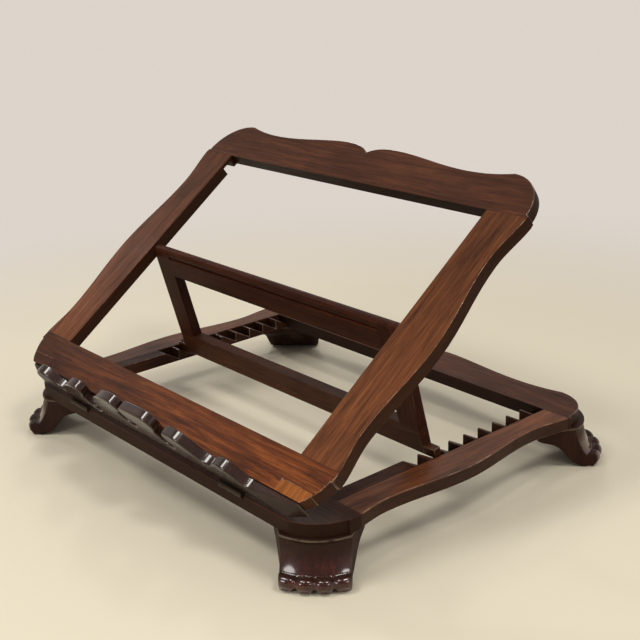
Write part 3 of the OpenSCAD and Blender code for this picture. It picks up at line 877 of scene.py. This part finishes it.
class LECTERN_OT_strut(bpy.types.Operator):
    """Strut with its beaded top and the lugs on its foot"""
    bl_idname = "lectern.strut"
    bl_label = "Strut"

    def execute(self, context):
        s = sizes()
        leg = local_box("strut_leg_right", STRUT)
        rail = local_box("strut_top_rail", STRUT)
        foot = local_box("strut_foot_rail", STRUT)
        at_foot = ("y", foot[0].y)
        at_legs = (("x", leg[0].x), ("x", -leg[0].x))
        wood = timber("strut_top_wood", "strut", STRUT, "x", 0.4, 0.9, at_legs, 0.3, 23.0)
        stand_for(object_from(beaded(rail, s.bead), "strut_top_beaded", wood, 50.0), "strut_top_rail")
        for side, name in SIDES:
            joints = (("x", side * leg[0].x), at_foot)
            wood = timber(f"strut_leg_{name}_wood", "strut", STRUT, "y", 0.35, 0.7, joints, 0.3, 26.0 + side)
            board("strut_leg_" + name, STRUT, wood, joints)
        wood = timber("strut_foot_wood", "frame", STRUT, "x", 0.4, 0.9, (at_foot,), 0.35, 29.0)
        board("strut_foot_rail", STRUT, wood, (at_foot,))
        let_in, drop = 0.0015, 0.0011
        start = foot[1].x - let_in
        end = HALF_OPENING + s.lug_reach
        size = Vector((end - start, s.lug_height, s.lug_thick))
        for side, name in SIDES:
            centre = Vector((side * (start + end) / 2, s.lug_place, -drop))
            bm = bmesh.new()
            bmesh.ops.create_cube(bm, size=1.0)
            for vert in bm.verts:
                vert.co = STRUT @ (centre + Vector(a * b for a, b in zip(vert.co, size)))
            lug = object_from(soften(bm, s.tooth_arris), f"strut_lug_{name}", wood)
            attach(lug, "strut")
        return {"FINISHED"}


# Feet

TOE_ARC = 0.0584
TOE_MIDDLE = 0.0080
TOE_ROLL = 0.0054
TOE_STEP = 14.7
TOE_HALF = 0.0080
OUTER_TOE_HALF = 0.0094
TOE_TOP = 0.018
TOES_START = 0.050
GROOVE = 0.50
ROLL_ABOVE = (-0.0036, 0.0004)
ROLL_BELOW = (-0.0050, -0.0010)
SCOOP_TOP = 0.031
LIP_DROP = 0.0013
FOOT_REACH = 0.0595


def rolled(place):
    """Moves a point of a foot on to its four round toes. The foot's own X runs out through them; their
    middles lie on an arc, TOE_STEP degrees apart, and they roll over in front and under"""
    out, across = hypot(place.x, place.y), atan2(place.y, place.x)
    if out < TOES_START or place.z > TOE_TOP:
        return place
    row = max(-1.5, min(1.5, round(degrees(across) / TOE_STEP - 0.5) + 0.5))
    beside = radians(degrees(across) - row * TOE_STEP) * TOE_ARC
    if abs(row) > 1 and beside * row > 0:
        round_off = max(0.0, 1 - (abs(beside) / OUTER_TOE_HALF) ** 3) ** (1 / 3)
    else:
        round_off = sqrt(max(0.0, 1 - (beside / TOE_HALF) ** 2))
    over, up = out - TOE_ARC, place.z - TOE_MIDDLE
    tall = TOE_ROLL if up > 0 else TOE_MIDDLE
    size = hypot(over / TOE_ROLL, up / tall)
    limit = max(GROOVE, round_off)
    if size <= limit:
        return place
    held = smooth_step(*(ROLL_ABOVE if up > 0 else ROLL_BELOW), over)
    share = 1 + (limit / size - 1) * held
    out, up = TOE_ARC + over * share, up * share
    return Vector((out * cos(across), out * sin(across), TOE_MIDDLE + up))


def foot_pose(node, side, way):
    """A foot's own axes: on the floor at the middle of its toes' arc, with X out towards the corner"""
    low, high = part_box(node)
    middle = Vector(((high.x if side > 0 else low.x) - side * FOOT_REACH,
                     (high.y if way > 0 else low.y) - way * FOOT_REACH, 0.0))
    return Matrix.Translation(middle) @ Matrix.Rotation(atan2(way, side), 4, "Z")


def mark_foot(mesh, back):
    """Writes down where the lacquer is whole, low on the scoop, and where the back is rubbed, in a strip
    that widens towards the floor"""
    shine = mesh.attributes.new("polish", "FLOAT", "POINT")
    worn = mesh.attributes.new("wear", "FLOAT", "POINT")
    turned = back.to_3x3()
    for vert in mesh.vertices:
        outward = (turned @ vert.normal).x
        # High on the scoop the lacquer fades and the colour darkens: a painted dark reflection
        high = smooth_step(TOE_TOP, SCOOP_TOP, vert.co.z)
        shine.data[vert.index].value = smooth_step(0.28, 0.5, outward) * (1 - 0.9 * high)
        # Painted light: a pale strip down the back's ridge, widening towards the floor
        if outward < -0.2:
            half = 0.002 + 0.011 * smooth_step(0.036, 0.010, vert.co.z)
            worn.data[vert.index].value = smooth_step(half + 0.0015, half, abs((back @ vert.co).y))


class LECTERN_OT_feet(bpy.types.Operator):
    """Carved feet: a lip, a lacquered scoop and four round toes, softened by long handling"""
    bl_idname = "lectern.feet"
    bl_label = "Feet"

    def execute(self, context):
        for end, way in (("front", -1), ("back", 1)):
            for side, name in SIDES:
                node = f"foot_{end}_{name}"
                wood = timber(node + "_wood", "foot", WORLD, "z", 0.95, 0.8, (), 0.45, 31.0 + side,
                              lip=FOOT_HEIGHT - LIP_DROP, polish="polish")
                own = foot_pose(node, side, way)
                back = own.inverted()
                bm = take(node)
                bmesh.ops.triangulate(bm, faces=bm.faces)
                obj = object_from(bm, node + "_carved", wood)
                carve = obj.modifiers.new("carve", "REMESH")
                carve.mode = "VOXEL"
                carve.voxel_size = sizes().carving_voxel
                settle(obj)
                for vert in obj.data.vertices:
                    vert.co = own @ rolled(back @ vert.co)
                rub = obj.modifiers.new("rub", "SMOOTH")
                rub.factor = 0.5
                rub.iterations = 8
                settle(obj)
                obj.data.shade_smooth()
                mark_foot(obj.data, back)
                obj.data.materials.clear()
                obj.data.materials.append(wood)
                stand_for(obj, node)
        return {"FINISHED"}


# Hinges

def screw_tree():
    """Countersunk screws on points: a head that narrows downwards, with a slot across it"""
    grow = Growth("hinge_screws", Radius="Float", Depth="Float", Slot="Float", Material="Material")
    radius, depth, slot = (grow.inputs[name] for name in ("Radius", "Depth", "Slot"))
    head = grow.add("GeometryNodeMeshCone", {}, "Mesh", Vertices=28, Radius_Top=radius,
                    Radius_Bottom=radius * 0.5, Depth=depth)
    head = grow.add("GeometryNodeTransform", {}, "Geometry", Geometry=head,
                    Translation=grow.xyz(0.0, 0.0, depth * -1.0))
    groove = grow.cube(radius * 3.0, slot, depth * 0.8, grow.xyz())
    screw = grow.cut(head, groove)
    turns = grow.add("FunctionNodeRandomValue", {"data_type": "FLOAT"}, None, Min=0.0, Max=pi, Seed=7)
    turn_by = Wire(grow, next(o for o in turns.outputs if o.type == "VALUE" and o.enabled))
    screws = grow.add("GeometryNodeInstanceOnPoints", {}, "Instances", Points=grow.inputs["Geometry"],
                      Instance=screw, Rotation=grow.xyz(0.0, 0.0, turn_by))
    return grow.finish(screws)


def screw_places(node, back):
    """The middle and the top of each screw in a CAD node, in the axes that back turns into"""
    bm = take(node)
    heads = []
    while bm.verts:
        bm.verts.ensure_lookup_table()
        island, edge = {bm.verts[0]}, [bm.verts[0]]
        while edge:
            for link in edge.pop().link_edges:
                for vert in link.verts:
                    if vert not in island:
                        island.add(vert)
                        edge.append(vert)
        places = [back @ v.co for v in island]
        heads.append([(min(p[i] for p in places) + max(p[i] for p in places)) / 2 for i in range(2)]
                     + [max(p.z for p in places)])
        bmesh.ops.delete(bm, geom=list(island), context="VERTS")
    bm.free()
    return heads


class LECTERN_OT_hinges(bpy.types.Operator):
    """Dark metal of the hinges and pivot pins, and the hinges' slotted screws"""
    bl_idname = "lectern.hinges"
    bl_label = "Hinges"

    def execute(self, context):
        s = sizes()
        metal = old_brass()
        for node, obj in frame["nodes"].items():
            if node.startswith(("hinge_", "pivot_pin_")):
                obj.data.materials.clear()
                obj.data.materials.append(metal)
        tree = screw_tree()
        for part, pose, tipped in (("base", BASE, 0.0), ("book", BOOK, pi)):
            node = f"hinge_{part}_screws"
            stand = pose @ Matrix.Rotation(tipped, 4, "X")
            screws = tree.grow(screw_places(node, stand.inverted()), stand, Radius=s.screw_head,
                               Depth=s.screw_depth, Slot=s.screw_slot, Material=metal)
            stand_for(object_from(screws, node + "_slotted", metal), node)
        return {"FINISHED"}


# Stage

CAMERA = Vector((0.8098, -0.6540, 0.4850))
AZIMUTH, ELEVATION, ROLL = radians(49.71), radians(19.10), radians(-1.80)
SENSOR, FOCAL_LENGTH = 36.0, 64.8

# Each lamp's name, place, width, power and colour

LAMPS = (
    ("lamp_front", (-0.28, -1.08, 1.95), 0.64, 16.0, (1.0, 0.97, 0.92)),
    ("lamp_middle", (0.42, -1.00, 1.95), 0.24, 4.5, (1.0, 0.97, 0.92)),
    ("lamp_right", (1.07, 0.09, 1.93), 0.48, 12.5, (1.0, 0.97, 0.92)),
    ("lamp_left", (-1.81, -0.29, 1.25), 0.24, 5.0, (1.0, 0.97, 0.93)),
    ("lamp_back", (-1.35, 1.00, 1.40), 0.30, 5.0, (1.0, 0.98, 0.95)),
    ("lamp_low_front", (0.08, -1.54, 0.60), 0.50, 6.5, (1.0, 0.97, 0.94)),
    ("lamp_low_right", (1.34, -0.07, 0.60), 0.28, 2.4, (1.0, 0.97, 0.94)),
)
LAMPS_AIM = Vector((0, 0, 0.1))
ROOM_LIGHT = (1.0, 0.965, 0.92)


def blended(graph, factor, first, second):
    """One shader where the factor is 0 and another where it is 1"""
    mixed = graph.add("ShaderNodeMixShader", {}, None, Fac=factor)
    graph.put(mixed.inputs[1], first)
    graph.put(mixed.inputs[2], second)
    return Wire(graph, mixed.outputs[0])


def floor_plain():
    """A pale floor whose far end shows one even tone to the camera"""
    net = Net("floor_plain")
    palette = colours()
    where = net.add("ShaderNodeTexCoord", {}, "Object")
    away = net.add("ShaderNodeVectorMath", {"operation": "LENGTH"}, "Value", Vector=where)
    seen = net.add("ShaderNodeLightPath", {}, "Is Camera Ray")
    near = net.add("ShaderNodeBsdfPrincipled", {}, "BSDF", Base_Color=tuple(palette.floor), Roughness=0.75)
    far = net.add("ShaderNodeEmission", {}, "Emission", Color=tuple(palette.backdrop), Strength=1.0)
    out = net.add("ShaderNodeOutputMaterial", {})
    net.put(out.inputs["Surface"], blended(net, away.between(0.36, 1.05) * seen, near, far))
    return net.material


def room_light():
    """A world that is brighter behind the object, and shows the camera the far end of the floor"""
    world = bpy.data.worlds.new("room")
    world.use_nodes = True
    world.node_tree.nodes.clear()
    room = Graph(world.node_tree)
    toward = room.add("ShaderNodeTexCoord", {}, "Generated")
    parts = room.add("ShaderNodeSeparateXYZ", {}, Vector=toward)
    strength = Wire(room, parts.outputs["Y"]).between(-0.25, 0.55) * 0.36 + 0.28
    glow = room.add("ShaderNodeBackground", {}, "Background", Color=ROOM_LIGHT, Strength=strength)
    plain = room.add("ShaderNodeBackground", {}, "Background", Color=tuple(colours().backdrop), Strength=1.0)
    seen = room.add("ShaderNodeLightPath", {}, "Is Camera Ray")
    out = room.add("ShaderNodeOutputWorld", {})
    room.put(out.inputs["Surface"], blended(room, seen, glow, plain))
    return world


def aimed(location, target):
    """The pose of something at a location that looks at a target"""
    way = Vector(target) - Vector(location)
    return Matrix.Translation(location) @ way.to_track_quat("-Z", "Y").to_matrix().to_4x4()


def camera_pose():
    """Where the photograph was taken from, and how the camera was turned"""
    back = Vector((sin(AZIMUTH) * cos(ELEVATION), -cos(AZIMUTH) * cos(ELEVATION), sin(ELEVATION)))
    level = Vector((cos(AZIMUTH), sin(AZIMUTH), 0.0))
    down = (-back).cross(level)
    right = level * cos(ROLL) - down * sin(ROLL)
    up = -(level * sin(ROLL) + down * cos(ROLL))
    return Matrix.Translation(CAMERA) @ Matrix((right, up, back)).transposed().to_4x4()


class LECTERN_OT_stage(bpy.types.Operator):
    """Floor, lamps, sky and camera"""
    bl_idname = "lectern.stage"
    bl_label = "Stage"

    def execute(self, context):
        scene = context.scene
        bm = bmesh.new()
        bmesh.ops.create_grid(bm, x_segments=1, y_segments=1, size=sizes().floor_size)
        mesh = bpy.data.meshes.new("floor")
        bm.to_mesh(mesh)
        bm.free()
        mesh.materials.append(floor_plain())
        ground = bpy.data.objects.new("floor", mesh)
        ground.location.z = -0.0002
        scene.collection.objects.link(ground)
        for name, where, size, power, tint in LAMPS:
            lamp = bpy.data.lights.new(name, "AREA")
            lamp.shape = "DISK"
            lamp.size = size
            lamp.energy = power
            lamp.color = tint
            obj = bpy.data.objects.new(name, lamp)
            obj.matrix_world = aimed(where, LAMPS_AIM)
            scene.collection.objects.link(obj)
        scene.world = room_light()
        view = bpy.data.cameras.new("camera")
        view.sensor_width = SENSOR
        view.lens = FOCAL_LENGTH
        view.clip_start, view.clip_end = 0.01, 50.0
        camera = bpy.data.objects.new("camera", view)
        camera.matrix_world = camera_pose()
        scene.collection.objects.link(camera)
        scene.camera = camera
        scene.view_settings.view_transform = "Standard"
        return {"FINISHED"}


class LECTERN_PT_panel(bpy.types.Panel):
    """Lists the steps that dress the lectern"""
    bl_label = "Lectern"
    bl_idname = "LECTERN_PT_panel"
    bl_space_type = "VIEW_3D"
    bl_region_type = "UI"
    bl_category = "Lectern"

    def draw(self, context):
        for step in STEPS:
            self.layout.operator(step.bl_idname, text=step.bl_label)
        for group in (context.scene.lectern_sizes, context.scene.lectern_colours):
            column = self.layout.column()
            for name in group.bl_rna.properties.keys():
                if name not in ("name", "rna_type"):
                    column.prop(group, name)


STEPS = (LECTERN_OT_base_frame, LECTERN_OT_racks, LECTERN_OT_feet, LECTERN_OT_book_frame, LECTERN_OT_ledge,
         LECTERN_OT_strut, LECTERN_OT_hinges, LECTERN_OT_stage)
CLASSES = (LecternSizes, LecternColours, *STEPS, LECTERN_PT_panel)


def register():
    for cls in CLASSES:
        bpy.utils.register_class(cls)
    bpy.types.Scene.lectern_sizes = PointerProperty(type=LecternSizes)
    bpy.types.Scene.lectern_colours = PointerProperty(type=LecternColours)


def unregister():
    del bpy.types.Scene.lectern_colours
    del bpy.types.Scene.lectern_sizes
    for cls in reversed(CLASSES):
        bpy.utils.unregister_class(cls)


def main():
    """Registers the add-on, runs its steps in order and writes down the sizes"""
    register()
    for step in STEPS:
        group, action = step.bl_idname.split(".")
        getattr(getattr(bpy.ops, group), action)()


if __name__ == "__main__":
    main()
